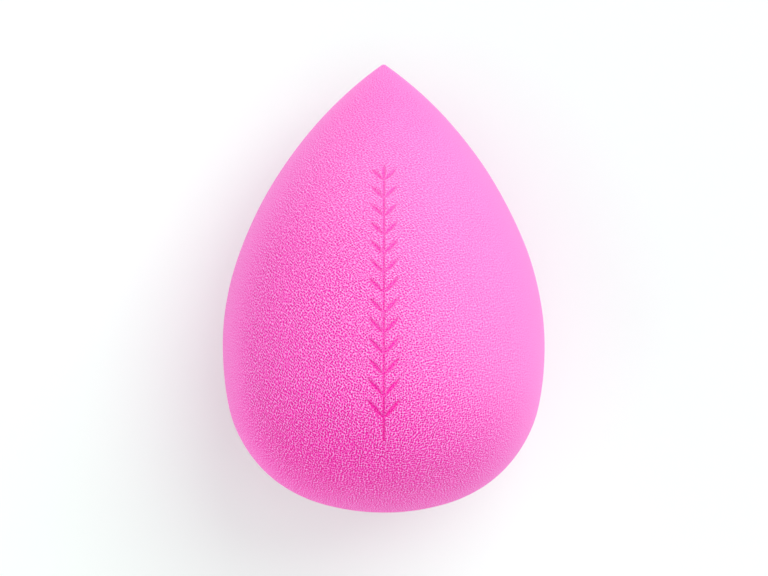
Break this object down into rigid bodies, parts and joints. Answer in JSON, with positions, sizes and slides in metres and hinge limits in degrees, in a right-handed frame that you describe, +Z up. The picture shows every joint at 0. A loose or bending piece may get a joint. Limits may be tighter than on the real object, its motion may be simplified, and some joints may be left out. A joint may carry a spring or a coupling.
{
  "type": "makeup sponge",
  "caption": "Teardrop makeup sponge of soft pink foam, pointed at one end and round at the other, lying on its side, with a leaf sprig pressed into its upper face.",
  "frame": {"origin": "middle of the bounding box's underside, on the surface that the sponge lies on", "axes": "+Y towards the tip, seen from above; +Z up; the pressed sprig faces +Z; the sponge's own axis lies in the YZ plane and drops 11.4 degrees towards the tip, as it balances at rest"},
  "size_m": [0.043, 0.0604, 0.0432],
  "materials": {
    "foam": "soft open-cell polyurethane foam, dyed pink through, with fine pores"
  },
  "bodies": {
    "root": {"foam_body": "foam"}
  },
  "joints": []
}
